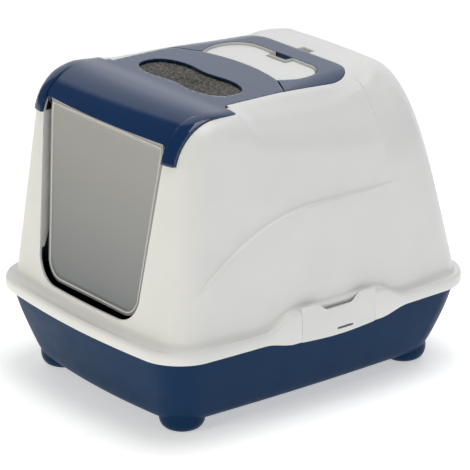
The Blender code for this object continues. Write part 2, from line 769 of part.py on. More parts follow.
def make_door(work):
    top = DOOR_AXIS[1]
    outline = opening_outline(DOOR_INSET, DOOR_LOW, DOOR_ROUND, top)
    panel = prism("door_panel", outline, -0.25, -0.15, work, axis="Y")
    low, high = 0.10, 0.42
    outline = [(door_face(low), low), (door_face(high), high)]
    outline += [(door_face(high) + DOOR_THICK, high), (door_face(low) + DOOR_THICK, low)]
    slab = prism("door_slab", outline, -0.2, 0.2, work, axis="X")
    combine(panel, slab, "INTERSECT")
    y, z = DOOR_AXIS
    width = OPEN_TOP_HALF - DOOR_INSET
    knuckle = rod("knuckle", DOOR_KNUCKLE, -width, width, y, z, work)
    combine(panel, knuckle, "UNION")
    combine(panel, rod("door_pins", PIN_RADIUS, -width - 0.0036, width + 0.0036, y, z, work), "UNION")
    return panel


def make_handle(work):
    handle = prism("handle_blank", handle_outline(0.0), 0.34, 0.42, work)
    combine(handle, skin_body("handle_top", flat_offset(0.0), 0.105, work), "INTERSECT")
    combine(handle, skin_body("handle_low", flat_offset(-HANDLE_DEPTH), 0.100, work), "DIFFERENCE")
    y, z = HANDLE_AXIS
    for side in (-1, 1):
        pin = rod("handle_pin", PIN_RADIUS, side * 0.1105, side * 0.1160, y, z, work)
        combine(handle, pin, "UNION")
    return handle


def make_filter(work):
    return prism("filter_pad", peanut_outline(0.0025), FILTER_LOW, FILTER_TOP, work)


def make_holder(work):
    """A shallow basket that clips under the lid and carries the filter."""
    holder = prism("holder_blank", peanut_outline(0.0050), HOLDER_LOW, HOLDER_TOP, work)
    room = prism("holder_room", peanut_outline(0.0030), FILTER_LOW - GAP, 0.40, work)
    combine(holder, room, "DIFFERENCE")
    for i in range(-4, 5):
        x = i * 0.017
        reach = 0.021 if abs(i) < 4 else 0.014
        slot = box("slot", (x - 0.005, FILTER_CENTRE_Y - reach, 0.36),
                   (x + 0.005, FILTER_CENTRE_Y + reach, 0.376), work)
        combine(holder, slot, "DIFFERENCE")
    return holder


def main():
    clear_scene()
    parts = new_collection("cat_litter_box_with_hood")
    work = new_collection("cutters")
    navy = principled("navy_plastic", (0.016, 0.040, 0.100), 0.28)
    tray_navy = principled("tray_plastic", (0.018, 0.042, 0.090), 0.42)
    white = principled("white_plastic", (0.80, 0.80, 0.78), 0.32)
    smoke = principled("smoke_plastic", (0.30, 0.30, 0.30), 0.30, transmission=0.6)
    carbon = principled("carbon_foam", (0.10, 0.09, 0.08), 0.95)
    finish(make_tray(work), "tray", parts, tray_navy)
    finish(make_hood(work), "hood", parts, white)
    finish(make_lid(work), "flip_lid", parts, navy, pivot=(0.0, *LID_AXIS))
    finish(make_door(work), "swing_door", parts, smoke, pivot=(0.0, *DOOR_AXIS))
    finish(make_handle(work), "handle", parts, navy, pivot=(0.0, *HANDLE_AXIS))
    for side, name in ((-1, "clip_left"), (1, "clip_right")):
        clip = make_clip(side, work)
        finish(clip, name, parts, white, pivot=(side * CLIP_AXIS[0], CLIP_Y, CLIP_AXIS[1]))
    finish(make_filter(work), "carbon_filter", parts, carbon)
    finish(make_holder(work), "filter_holder", parts, navy)


main()
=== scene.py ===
"""Cat litter box with hood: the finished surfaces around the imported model.

Metres, +Z up. The door faces -Y, the width runs along X, and the origin is the centre of the
footprint on the floor.
"""

import math

import bmesh
import bpy
import numpy as np
from mathutils import Matrix, Vector


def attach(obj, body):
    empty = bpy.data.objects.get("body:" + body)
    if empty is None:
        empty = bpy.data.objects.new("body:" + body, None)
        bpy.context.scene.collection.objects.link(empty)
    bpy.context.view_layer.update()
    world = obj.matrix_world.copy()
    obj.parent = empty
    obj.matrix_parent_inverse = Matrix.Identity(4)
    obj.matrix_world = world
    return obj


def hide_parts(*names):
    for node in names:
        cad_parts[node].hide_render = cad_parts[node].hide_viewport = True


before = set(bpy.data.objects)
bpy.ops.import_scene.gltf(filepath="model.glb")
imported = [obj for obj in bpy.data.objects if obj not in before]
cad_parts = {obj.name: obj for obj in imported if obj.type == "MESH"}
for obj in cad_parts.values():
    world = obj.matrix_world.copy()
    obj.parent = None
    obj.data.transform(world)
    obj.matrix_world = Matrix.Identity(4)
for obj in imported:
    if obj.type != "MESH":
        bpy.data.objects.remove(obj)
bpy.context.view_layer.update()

GAP = 0.0004                 # clearance between neighbouring pieces
WELD = 0.00002
BOOLEAN_WELD = 0.000004
ABOVE = 0.42                 # a height above the whole box, for cutters that run out of the top

# Hood: walls measured at the height WALL_BASE
WALL_BASE = 0.140
SIDE_HALF = 0.185            # half width of the hood
SIDE_LEAN = 0.080            # inward lean of the side walls
SIDE_BOW = 0.0146            # how far the side walls recede at the ends
FRONT_Y = 0.2297
FRONT_LEAN = 0.1208
FRONT_BOW = 0.0143
REAR_Y = 0.2419
REAR_LEAN = 0.1835
REAR_BOW = 0.0244
BOW_HALF = 0.178             # half width at which the front and rear bows are reached
ARCH_START = 0.100           # where the deck starts to roll down to the rear wall
ARCH_FLOOR = 0.090
ARCH_POWER = 5.3
ARCH_RISE = 0.0040
DECK_Z = 0.3877
DECK_REAR_FALL = 0.026
DECK_CROWN = 0.0147
SHOULDER_START = 0.118       # beyond this half width the deck slopes down to the sides
SHOULDER_RUN = 0.035
SHOULDER_DROP = 0.0121
SHOULDER_FRONT = -0.110
FRONT_ROUND = 0.0514
ROUND_BASE = 0.025
ROUND_TOP_FRONT = 0.028
ROUND_TOP_REAR = 0.0794
HOOD_WALL = 0.0030

# Styling lines on the hood
CREASE_STEP = 0.0042         # height of the ledge along each side
CREASE_WIDTH = 0.0030
CREASE_FADE = 0.085          # distance over which the swelling below the ledge fades
RIDGE_HEIGHT = 0.0016
GROOVE_DEPTH = 0.0013

# Skirt
RIM_HALF_X = 0.1957
RIM_HALF_Y = 0.2500
RIM_ROUND = 0.047
RIM_BOW_X = 0.007
RIM_BOW_Y = 0.015
RIM_LOW = 0.1080
RIM_TOP = 0.1235
RIM_EDGE_IN = 0.0045         # size of the rounded upper edge of the skirt
RIM_EDGE_UP = 0.0062
RIM_EDGE_DROP = 0.0068
COVE_DEPTH = 0.0022          # hollow between that edge and the wall
SWELL_TOP = 0.0165           # the skirt rises by this beside the clips
SWELL_LOW = 0.0080           # and hangs down by this
CLIP_Y = 0.009               # middle of a clip along the side
CLIP_HALF = 0.057
CLIP_THICK = 0.0034
CLIP_TOP = 0.1430
CLIP_DIP = 0.0105
CLIP_LOW = 0.0995

# Tray
TRAY_TOP = (0.1857, 0.2385, 0.1165)
TRAY_LIP = 0.0025
TRAY_FLOOR = 0.0145
TRAY_WALL = 0.0030
TRAY_ROUND = 0.036
FOOT = (0.124, 0.175)
FOOT_RADIUS = 0.0285

# Door opening and swing door
OPEN_TOP_HALF = 0.1215
OPEN_TOP_Z = 0.340
OPEN_TAPER = 0.1056
OPEN_LOW = 0.1340
OPEN_ROUND = 0.038
REVEAL_DEPTH = 0.0195
REVEAL_WALL = 0.0025
REVEAL_LOW = 0.170
REVEAL_SLOPE = ((-0.26, 0.069), (-0.15, 0.069), (-0.15, 0.316))    # cuts its lower end, as (y, z)
DOOR_INSET = 0.0080
DOOR_LOW = 0.1365
DOOR_ROUND = 0.029
DOOR_RECESS = 0.0125
DOOR_THICK = 0.0028
DOOR_AXIS = (-0.1892, 0.3570)
DOOR_KNUCKLE = 0.0027
DOOR_BORDER = 0.0075         # width of the raised border of the door
# Painted light and shade on the door: a lighter warm grey at the top is painted light, and a darker cool
# grey toward the bottom is painted shade
DOOR_SHADED_TONE = (0.185, 0.198, 0.212)
DOOR_LIT_TONE = (0.380, 0.373, 0.360)

# Flip lid
LID_THICK = 0.0025
LID_PROUD = 0.0022           # the lid stands this far above the hood at the front
ARM_PROUD = 0.0018           # and its arms this far above its front panel
LID_FRONT_HALF = 0.1415
LID_REAR_HALF = 0.1133
LID_STEP_Y = -0.1060
LID_REAR_Y = 0.0178
LID_REAR_CURVE = 1.9
LID_CORNER = (0.0745, -0.0125)
LID_TIP_Z = 0.3390
LID_LIP_Z = 0.3595
LID_ARM_INNER = 0.1214
LID_AXIS = (-0.0165, 0.3825)
LEDGE_REACH = 0.0055
SEAT_FRONT = -0.0985
SEAT_REAR = -0.0260
SEAT_Z = 0.3830
WALL_MID = 0.3859            # a level inside the hood's wall all over the deck

# Handle
HANDLE_HALF = 0.1133
HANDLE_REAR = 0.1080
HANDLE_ROUND = 0.050
GRIP_HALF = 0.0870
GRIP_REAR = 0.0800
GRIP_ROUND = 0.036
HANDLE_DEPTH = 0.0075
HANDLE_AXIS = (0.0136, 0.3815)
POCKET_FLOOR = 0.3745
ISLAND_LOW = 0.3838          # just under the deck inside the handle
POCKET_FRONT = 0.0185        # in front of this the well has no floor
NOTCH_HALF = 0.0165
NOTCH_DEPTH = 0.0125
REAR_NOTCH = (0.0115, 0.1195, 0.3800)    # half width, rear edge and floor of the one behind it
PIN_RADIUS = 0.0020

# Filter
FILTER_CENTRE_Y = -0.0670
FILTER_HALF_X = 0.0870
FILTER_HALF_Y = 0.0335
FILTER_WAIST = 0.23
FILTER_WAIST_RUN = 0.036
FILTER_TOP = 0.3835
FILTER_LOW = 0.3745

# Mesh fineness
PER_CORNER = 14
PER_SIDE = 90
LEVEL_STEP = 0.0024
FAN_STEP = 1.3
FAN_BASE = 0.275
WALL_BASE_RING = 0.1475      # the lowest ring that runs with the crease
CREASE_LOWEST = 0.176        # rings bend down with the crease only as far as this
EDGE_STEPS = (-0.0030, -0.0018, -0.0010, -0.0003, 0.0003, 0.0010, 0.0018, 0.0030)


# Camera and backdrop
CAMERA_AZIMUTH = 52.07
CAMERA_ELEVATION = 20.65
CAMERA_DISTANCE = 3.8
CAMERA_SHIFT = (0.0016, -0.0297)     # to the right and up
CAMERA_LENS = 234.4
CAMERA_TARGET = (0, 0, 0.2)
BACKDROP_TOWARD = (-0.72, 0.58, 0.38)
BACKDROP_EDGE = (0.69, 0.80)         # cosines between which the backdrop brightens
BACKDROP_STRENGTH = (0.14, 0.85)
FLOOR_GLOW = 0.46


# ---------------------------------------------------------------- camera and light

def place_camera():
    """Seen from the front right, a little above the box, with a long lens."""
    azimuth = math.radians(CAMERA_AZIMUTH)
    elevation = math.radians(CAMERA_ELEVATION)
    back = Vector((math.sin(azimuth) * math.cos(elevation),
                   -math.cos(azimuth) * math.cos(elevation), math.sin(elevation)))
    right = Vector((math.cos(azimuth), math.sin(azimuth), 0.0))
    up = back.cross(right)
    data = bpy.data.cameras.new("camera")
    data.sensor_width = 36.0
    data.lens = CAMERA_LENS
    data.clip_end = 60.0
    camera = bpy.data.objects.new("camera", data)
    bpy.context.scene.collection.objects.link(camera)
    turn = Matrix((right, up, back)).transposed().to_4x4()
    shift_right, shift_up = CAMERA_SHIFT
    spot = Vector(CAMERA_TARGET) + right * shift_right + up * shift_up + back * CAMERA_DISTANCE
    camera.matrix_world = Matrix.Translation(spot) @ turn
    bpy.context.scene.camera = camera


def softbox(name, spot, target, size, power, colour, mirrored=True):
    """A rectangular light aimed at a target; only a mirrored one shows in reflections."""
    data = bpy.data.lights.new(name, "AREA")
    data.shape = "RECTANGLE"
    data.size, data.size_y = size
    data.energy = power
    data.color = colour
    item = bpy.data.objects.new(name, data)
    item.location = spot
    aim = Vector(target) - Vector(spot)
    item.rotation_euler = aim.to_track_quat("-Z", "Y").to_euler()
    item.visible_camera = False
    item.visible_glossy = mirrored
    bpy.context.scene.collection.objects.link(item)


def light_studio():
    """Soft light from above, from the front and from the right."""
    softbox("top_light", (0.3, 0.2, 3.0), (0, 0, 0.2), (2.2, 2.2), 50, (1.0, 1.0, 1.0))
    softbox("front_light", (0.1, -3.3, 0.9), (0, -0.1, 0.2), (1.2, 1.2), 30, (1.0, 0.94, 0.74),
            mirrored=False)
    softbox("side_light", (3.2, 0.6, 1.2), (0, 0, 0.2), (1.6, 1.4), 11, (1.0, 1.0, 1.0))


def make_backdrop():
    """A world that is dim all round and bright behind the box."""
    world = bpy.data.worlds.new("studio")
    bpy.context.scene.world = world
    world.use_nodes = True
    nodes = world.node_tree.nodes
    links = world.node_tree.links
    nodes.clear()
    output = nodes.new("ShaderNodeOutputWorld")
    background = nodes.new("ShaderNodeBackground")
    ramp = nodes.new("ShaderNodeMapRange")
    ramp.interpolation_type = "SMOOTHSTEP"
    ramp.inputs["From Min"].default_value = BACKDROP_EDGE[0]
    ramp.inputs["From Max"].default_value = BACKDROP_EDGE[1]
    ramp.inputs["To Min"].default_value = BACKDROP_STRENGTH[0]
    ramp.inputs["To Max"].default_value = BACKDROP_STRENGTH[1]
    dot = nodes.new("ShaderNodeVectorMath")
    dot.operation = "DOT_PRODUCT"
    dot.inputs[1].default_value = Vector(BACKDROP_TOWARD).normalized()
    place = nodes.new("ShaderNodeTexCoord")
    links.new(place.outputs["Generated"], dot.inputs[0])
    links.new(dot.outputs["Value"], ramp.inputs["Value"])
    links.new(ramp.outputs["Result"], background.inputs["Strength"])
    background.inputs["Color"].default_value = (0.95, 0.98, 1.0, 1.0)
    links.new(background.outputs["Background"], output.inputs["Surface"])


def make_floor():
    """A plain white floor that glows faintly."""
    mesh = bmesh.new()
    bmesh.ops.create_circle(mesh, cap_ends=True, segments=64, radius=14.0)
    item = mesh_object("studio_floor", mesh)
    material = bpy.data.materials.new("floor_white")
    material.use_nodes = True
    shader = material.node_tree.nodes["Principled BSDF"]
    shader.inputs["Base Color"].default_value = (0.95, 0.95, 0.95, 1.0)
    shader.inputs["Roughness"].default_value = 0.8
    shader.inputs["Specular IOR Level"].default_value = 0.1
    shader.inputs["Emission Color"].default_value = (1.0, 1.0, 1.0, 1.0)
    shader.inputs["Emission Strength"].default_value = FLOOR_GLOW
    item.data.materials.append(material)


# ---------------------------------------------------------------- materials

def graph_of(name):
    """A new material with its node tree and shader."""
    material = bpy.data.materials.new(name)
    material.use_nodes = True
    tree = material.node_tree
    return material, tree, tree.nodes["Principled BSDF"]


def noise(tree, scale, detail=3.0, roughness=0.5, stretch=(1.0, 1.0, 1.0)):
    """Noise in object space, in cells per metre."""
    place = tree.nodes.new("ShaderNodeTexCoord")
    mapping = tree.nodes.new("ShaderNodeMapping")
    mapping.inputs["Scale"].default_value = stretch
    field = tree.nodes.new("ShaderNodeTexNoise")
    field.inputs["Scale"].default_value = scale
    field.inputs["Detail"].default_value = detail
    field.inputs["Roughness"].default_value = roughness
    tree.links.new(place.outputs["Object"], mapping.inputs["Vector"])
    tree.links.new(mapping.outputs["Vector"], field.inputs["Vector"])
    return field.outputs["Fac"]


def to_range(tree, value, low, high, new_low, new_high):
    """Map a value from one range to another, held at the ends."""
    node = tree.nodes.new("ShaderNodeMapRange")
    node.inputs["From Min"].default_value = low
    node.inputs["From Max"].default_value = high
    node.inputs["To Min"].default_value = new_low
    node.inputs["To Max"].default_value = new_high
    tree.links.new(value, node.inputs["Value"])
    return node.outputs["Result"]


def mix_colours(tree, share, first, second):
    """A colour between two, by a share."""
    node = tree.nodes.new("ShaderNodeMix")
    node.data_type = "RGBA"
    node.inputs["A"].default_value = (*first, 1.0)
    node.inputs["B"].default_value = (*second, 1.0)
    tree.links.new(share, node.inputs["Factor"])
    return node.outputs["Result"]


def bump(tree, shader, height, strength, distance):
    """Tilt the shading normal by a height."""
    node = tree.nodes.new("ShaderNodeBump")
    node.inputs["Strength"].default_value = strength
    node.inputs["Distance"].default_value = distance
    tree.links.new(height, node.inputs["Height"])
    tree.links.new(node.outputs["Normal"], shader.inputs["Normal"])


def moulded_plastic(name, light, dark, roughness, grain, specular=0.5, coat=0.0):
    """Moulded plastic: faint cloudy tone, uneven gloss and a fine moulding grain."""
    material, tree, shader = graph_of(name)
    cloud = to_range(tree, noise(tree, 14.0, 3.0), 0.35, 0.65, 0.0, 1.0)
    tree.links.new(mix_colours(tree, cloud, light, dark), shader.inputs["Base Color"])
    gloss = noise(tree, 45.0, 4.0, 0.6)
    spread = to_range(tree, gloss, 0.3, 0.7, roughness * 0.86, roughness * 1.16)
    tree.links.new(spread, shader.inputs["Roughness"])
    bump(tree, shader, noise(tree, 1500.0, 2.0), grain, 0.0002)
    shader.inputs["Specular IOR Level"].default_value = specular
    shader.inputs["Coat Weight"].default_value = coat
    shader.inputs["Coat Roughness"].default_value = 0.06
    material.diffuse_color = (*light, 1.0)
    return material


def door_plastic():
    """Smoke plastic with painted light and shade: lighter warm grey at the top, painted shade making it
    cooler and darker toward the bottom.
    """
    material, tree, shader = graph_of("smoke_plastic")
    place = tree.nodes.new("ShaderNodeTexCoord")
    split = tree.nodes.new("ShaderNodeSeparateXYZ")
    tree.links.new(place.outputs["Object"], split.inputs["Vector"])
    # Painted light and shade: the blend runs from a painted shade colour at the bottom to a painted light
    # colour at the top
    share = to_range(tree, split.outputs["Z"], DOOR_LOW, DOOR_AXIS[1], 0.0, 1.0)
    painted_shading = mix_colours(tree, share, DOOR_SHADED_TONE, DOOR_LIT_TONE)
    tree.links.new(painted_shading, shader.inputs["Base Color"])
    gloss = noise(tree, 5.0, 0.0)
    tree.links.new(to_range(tree, gloss, 0.0, 1.0, 0.27, 0.33), shader.inputs["Roughness"])
    bump(tree, shader, noise(tree, 1500.0, 2.0), 0.03, 0.0002)
    material.diffuse_color = (0.4, 0.4, 0.4, 1.0)
    return material


def foam_material():
    """Carbon foam: open cells, dark brown to grey, with painted shade in the cell hollows."""
    material, tree, shader = graph_of("carbon_foam")
    cells = tree.nodes.new("ShaderNodeTexVoronoi")
    cells.inputs["Scale"].default_value = 420.0
    place = tree.nodes.new("ShaderNodeTexCoord")
    tree.links.new(place.outputs["Object"], cells.inputs["Vector"])
    depth = to_range(tree, cells.outputs["Distance"], 0.1, 0.7, 0.0, 1.0)
    speckle = to_range(tree, noise(tree, 330.0, 4.0, 0.7), 0.40, 0.62, 0.0, 1.0)
    first = mix_colours(tree, speckle, (0.060, 0.055, 0.047), (0.21, 0.20, 0.185))
    # Painted shade: the colour is darkened in the hollow of each cell
    pore_shade = tree.nodes.new("ShaderNodeMix")
    pore_shade.data_type = "RGBA"
    pore_shade.blend_type = "MULTIPLY"
    pore_shade.inputs["Factor"].default_value = 0.55
    tree.links.new(first, pore_shade.inputs["A"])
    tree.links.new(depth, pore_shade.inputs["B"])
    tree.links.new(pore_shade.outputs["Result"], shader.inputs["Base Color"])
    shader.inputs["Roughness"].default_value = 0.95
    bump(tree, shader, depth, 0.7, 0.0008)
    material.diffuse_color = (0.1, 0.1, 0.1, 1.0)
    return material


# ---------------------------------------------------------------- mesh helpers

def add_object(name, mesh):
    """Put a mesh or curve in the scene."""
    item = bpy.data.objects.new(name, mesh)
    bpy.context.scene.collection.objects.link(item)
    return item


def mesh_object(name, mesh):
    """Turn a bmesh into an object and free it."""
    data = bpy.data.meshes.new(name)
    mesh.to_mesh(data)
    mesh.free()
    return add_object(name, data)


def loft(name, rings, cap_start=False, cap_end=False, closed=True):
    """Skin a list of rings, each a list of points, with quads."""
    mesh = bmesh.new()
    rows = [[mesh.verts.new(point) for point in ring] for ring in rings]
    count = len(rings[0])
    spans = count if closed else count - 1
    for lower, upper in zip(rows, rows[1:]):
        for i in range(spans):
            j = (i + 1) % count
            mesh.faces.new((lower[i], lower[j], upper[j], upper[i]))
    if cap_start:
        mesh.faces.new(list(reversed(rows[0])))
    if cap_end:
        mesh.faces.new(rows[-1])
    bmesh.ops.recalc_face_normals(mesh, faces=mesh.faces)
    return mesh_object(name, mesh)


def prism(name, outline, low, high, axis="Z"):
    """A flat outline extruded between two heights along an axis."""
    curve = bpy.data.curves.new(name, "CURVE")
    curve.dimensions = "2D"
    curve.fill_mode = "BOTH"
    curve.extrude = (high - low) / 2
    spline = curve.splines.new("POLY")
    spline.points.add(len(outline) - 1)
    for point, (a, b) in zip(spline.points, outline):
        point.co = (a, b, 0.0, 1.0)
    spline.use_cyclic_u = True
    guide = add_object(name + "_outline", curve)
    middle = (high + low) / 2
    placing = {
        "Z": Matrix.Translation((0, 0, middle)),
        "Y": Matrix.Translation((0, middle, 0)) @ Matrix.Rotation(math.pi / 2, 4, "X"),
    }[axis]
    graph = bpy.context.evaluated_depsgraph_get()
    data = bpy.data.meshes.new_from_object(guide.evaluated_get(graph))
    bpy.data.objects.remove(guide, do_unlink=True)
    mesh = bmesh.new()
    mesh.from_mesh(data)
    bmesh.ops.remove_doubles(mesh, verts=mesh.verts, dist=1e-6)
    bmesh.ops.transform(mesh, matrix=placing, verts=mesh.verts)
    bmesh.ops.recalc_face_normals(mesh, faces=mesh.faces)
    mesh.to_mesh(data)
    mesh.free()
    return add_object(name, data)


def box(name, low, high):
    """A box between two opposite corners."""
    mesh = bmesh.new()
    bmesh.ops.create_cube(mesh, size=1.0)
    size = Vector(high) - Vector(low)
    middle = (Vector(high) + Vector(low)) / 2
    bmesh.ops.scale(mesh, vec=size, verts=mesh.verts)
    bmesh.ops.translate(mesh, vec=middle, verts=mesh.verts)
    return mesh_object(name, mesh)


def mirrored_box(name, low, high, side):
    """A box given on the +X side, or its mirror image."""
    ends = sorted((side * low[0], side * high[0]))
    return box(name, (ends[0], low[1], low[2]), (ends[1], high[1], high[2]))


def rod(name, radius, start, end, y, z, segments=24):
    """A round pin along X."""
    mesh = bmesh.new()
    bmesh.ops.create_cone(mesh, cap_ends=True, segments=segments, radius1=radius,
                          radius2=radius, depth=abs(end - start))
    turn = Matrix.Rotation(math.pi / 2, 4, "Y")
    place = Matrix.Translation(((start + end) / 2, y, z))
    bmesh.ops.transform(mesh, matrix=place @ turn, verts=mesh.verts)
    return mesh_object(name, mesh)


def weld(data, distance=WELD, flat_faces=False):
    """Merge points that meet, and cut bent faces into flat triangles if asked."""
    mesh = bmesh.new()
    mesh.from_mesh(data)
    bmesh.ops.remove_doubles(mesh, verts=mesh.verts, dist=distance)
    bmesh.ops.dissolve_degenerate(mesh, edges=mesh.edges, dist=distance)
    if flat_faces:
        bmesh.ops.triangulate(mesh, faces=mesh.faces)
    mesh.to_mesh(data)
    mesh.free()


def combine(target, tool, operation):
    """Apply a Boolean of the tool to the target, and remove the tool."""
    weld(target.data, BOOLEAN_WELD, flat_faces=True)
    weld(tool.data, BOOLEAN_WELD, flat_faces=True)
    modifier = target.modifiers.new(operation, "BOOLEAN")
    modifier.operation = operation
    modifier.object = tool
    modifier.solver = "EXACT"
    apply_all(target)
    bpy.data.objects.remove(tool, do_unlink=True)
    return target


def apply_all(item):
    """Make the modifiers of an object permanent."""
    graph = bpy.context.evaluated_depsgraph_get()
    data = bpy.data.meshes.new_from_object(item.evaluated_get(graph))
    item.modifiers.clear()
    item.data = data
    return item


def thicken(item, thickness):
    """Give a sheet a thickness, inward."""
    modifier = item.modifiers.new("wall", "SOLIDIFY")
    modifier.thickness = thickness
    modifier.offset = -1.0
    modifier.use_even_offset = True
    modifier.use_quality_normals = True
    return apply_all(item)


def soften(item, width, angle=40, segments=2):
    """Round the sharp edges."""
    weld(item.data, width * 0.35)
    modifier = item.modifiers.new("edges", "BEVEL")
    modifier.width = width
    modifier.segments = segments
    modifier.limit_method = "ANGLE"
    modifier.angle_limit = math.radians(angle)
    modifier.use_clamp_overlap = True
    modifier.miter_outer = "MITER_ARC"
    return apply_all(item)


def finish(item, name, material, body, nodes, crease=35):
    """Name a finished piece, shade it, and tie it to its body."""
    item.name = name
    item.data.name = name
    item.data.materials.clear()
    item.data.materials.append(material)
    item.data.shade_smooth()
    item.data.set_sharp_from_angle(angle=math.radians(crease))
    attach(item, body)
    if nodes:
        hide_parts(*nodes)
    return item


# ---------------------------------------------------------------- shape of the hood

def smooth(t):
    """An S-shaped ramp from 0 to 1."""
    t = np.clip(t, 0.0, 1.0)
    return t * t * (3.0 - 2.0 * t)


def round_max(a, b, radius):
    """The larger of two distances, with a round corner where they meet."""
    inner_a = np.maximum(a + radius, 0.0)
    inner_b = np.maximum(b + radius, 0.0)
    rounded = np.sqrt(inner_a ** 2 + inner_b ** 2) - radius
    both = (inner_a > 0) & (inner_b > 0)
    return np.where(both, rounded, np.maximum(a, b))


def deck_height(x, y):
    half = np.abs(x)
    slope = smooth((half - SHOULDER_START) / SHOULDER_RUN)
    slope = slope * smooth((y - SHOULDER_FRONT) / 0.03)
    fall = DECK_REAR_FALL * np.maximum(y - 0.03, 0.0) ** 2
    return DECK_Z - DECK_CROWN * half ** 2 - fall - SHOULDER_DROP * slope


def hood_field(x, y, z):
    """About the distance outside the hood's outer skin: negative inside."""
    half = np.abs(x)
    rise = z - WALL_BASE
    side = half - (SIDE_HALF - SIDE_LEAN * rise - SIDE_BOW * (y / 0.235) ** 2)
    bow = (half / BOW_HALF) ** 2
    front = -y - (FRONT_Y - FRONT_LEAN * rise - FRONT_BOW * bow)
    rear_edge = REAR_Y - REAR_LEAN * rise - REAR_BOW * bow
    reach = np.maximum(y - ARCH_START, 0.0) / (rear_edge - ARCH_START)
    lift = np.maximum(z - ARCH_FLOOR, 0.0) / (DECK_Z + ARCH_RISE - ARCH_FLOOR)
    arch = ((reach ** ARCH_POWER + lift ** ARCH_POWER) ** (1 / ARCH_POWER) - 1.0) * 0.15
    top = np.where(reach > 0, np.maximum(z - deck_height(x, y), arch), z - deck_height(x, y))
    top = round_max(top, front, FRONT_ROUND)
    round_top = ROUND_TOP_FRONT + (ROUND_TOP_REAR - ROUND_TOP_FRONT) * smooth((y + 0.15) / 0.25)
    share = np.clip(rise / 0.24, 0.0, 1.2)
    radius = ROUND_BASE + (round_top - ROUND_BASE) * share
    return round_max(top, side, radius)


def crease_height(y):
    """Height of the ledge along the side: it sweeps up from the front and levels out."""
    return 0.264 - 0.078 * np.clip((-0.010 - y) / 0.178, 0.0, 1.2) ** 2.1


def crease(x, y, z):
    """A ledge that faces up, with a swelling below it that fades out."""
    above = z - crease_height(y)
    edge = 1.0 - smooth(above / CREASE_WIDTH + 0.5)
    below = smooth(1.0 + above / CREASE_FADE)
    ends = smooth((y + 0.196) / 0.030) * (1.0 - smooth((y - 0.02) / 0.115))
    on_side = smooth((np.abs(x) - 0.145) / 0.02)
    return CREASE_STEP * edge * below * ends * on_side


def near_line(x, y, points, width):
    """1 on a line given as (half width, y) points, fading to 0 at a distance."""
    half = np.abs(x)
    best = np.full(len(half), 1.0)
    for (xa, ya), (xb, yb) in zip(points, points[1:]):
        length = (xb - xa) ** 2 + (yb - ya) ** 2
        t = np.clip(((half - xa) * (xb - xa) + (y - ya) * (yb - ya)) / length, 0.0, 1.0)
        away = np.hypot(half - xa - t * (xb - xa), y - ya - t * (yb - ya))
        best = np.minimum(best, away)
    return np.exp(-(best / width) ** 2)


SHOULDER_LINE = ((0.145, -0.100), (0.145, -0.036), (0.142, 0.035), (0.132, 0.087),
                 (0.121, 0.115), (0.106, 0.136), (0.085, 0.148))
GROOVE_LINE = ((0.130, -0.060), (0.1295, 0.022), (0.124, 0.068), (0.114, 0.100),
               (0.099, 0.120), (0.080, 0.128))
CORNER_LINE = ((0.128, 0.366), (0.138, 0.352), (0.148, 0.332), (0.155, 0.308), (0.1585, 0.280),
               (0.1625, 0.240), (0.166, 0.200))


def hood_detail(points):
    """Styling lines over the plain skin, as an outward offset."""
    x, y, z = points.T
    value = crease(x, y, z)
    deck = smooth((z - 0.345) / 0.010)
    value = value + RIDGE_HEIGHT * deck * near_line(x, y, SHOULDER_LINE, 0.0065)
    value = value - GROOVE_DEPTH * deck * near_line(x, y, GROOVE_LINE, 0.0070)
    rear = smooth((y - 0.105) / 0.02) * smooth((z - 0.190) / 0.06)
    return value + 0.0016 * rear * near_line(x, z, CORNER_LINE, 0.0045)


def cast(origins, directions, offset):
    """Where rays from inside the hood meet its skin, moved outward by an offset."""
    near = np.zeros(len(origins))
    far = np.full(len(origins), 0.34)
    for _ in range(30):
        middle = (near + far) / 2
        points = origins + directions * middle[:, None]
        inside = hood_field(*points.T) - offset(points) < 0
        near = np.where(inside, middle, near)
        far = np.where(inside, far, middle)
    return origins + directions * near[:, None]


def flat_offset(value):
    """The same offset everywhere."""
    return lambda points: np.full(len(points), value)


def lid_offset(value):
    """The lid's skin: level with the deck behind, proud of the hood in front."""
    return lambda points: value + LID_PROUD * smooth((-points[:, 1] - 0.105) / 0.035)


def arm_offset(points):
    """The arms of the lid stand above its front panel from the bend downward."""
    arm = ARM_PROUD * smooth((-points[:, 1] - 0.150) / 0.025)
    return lid_offset(0.0)(points) + arm


def rim_outline(half_x, half_y, radius, bow_x, bow_y, per_corner, per_side):
    """A rounded rectangle whose four sides bulge outward, counter-clockwise."""
    points = []
    corners = [(1, 1, 0), (-1, 1, 90), (-1, -1, 180), (1, -1, 270)]
    for sx, sy, start in corners:
        for i in range(per_corner + 1):
            angle = math.radians(start + 90 * i / per_corner)
            points.append((sx * (half_x - radius) + radius * math.cos(angle),
                           sy * (half_y - radius) + radius * math.sin(angle)))
    full = []
    for i, point in enumerate(points):
        full.append(point)
        after = points[(i + 1) % len(points)]
        if (i + 1) % (per_corner + 1) == 0:
            for k in range(1, per_side):
                t = k / per_side
                full.append((point[0] + (after[0] - point[0]) * t,
                             point[1] + (after[1] - point[1]) * t))
    bowed = []
    for x, y in full:
        bowed.append((x - math.copysign(bow_x, x) * (y / half_y) ** 2 * min(1, abs(x) / 0.08),
                      y - math.copysign(bow_y, y) * (x / half_x) ** 2 * min(1, abs(y) / 0.08)))
    return np.array(bowed)


def skirt_plan(per_corner, per_side, inset=0.0):
    """The skirt's outline seen from above."""
    return rim_outline(RIM_HALF_X - inset, RIM_HALF_Y - inset, RIM_ROUND - inset,
                       RIM_BOW_X, RIM_BOW_Y, per_corner, per_side)


def swell(points):
    """1 beside a clip, fading to 0 along the side."""
    along = np.abs(points[:, 1] - CLIP_Y)
    on_side = smooth((np.abs(points[:, 0]) - 0.15) / 0.03)
    return on_side * (1.0 - smooth((along - CLIP_HALF - 0.010) / 0.045))


def headings(plan):
    """Directions from the centre to the points of a plan."""
    return plan / np.linalg.norm(plan, axis=1)[:, None]


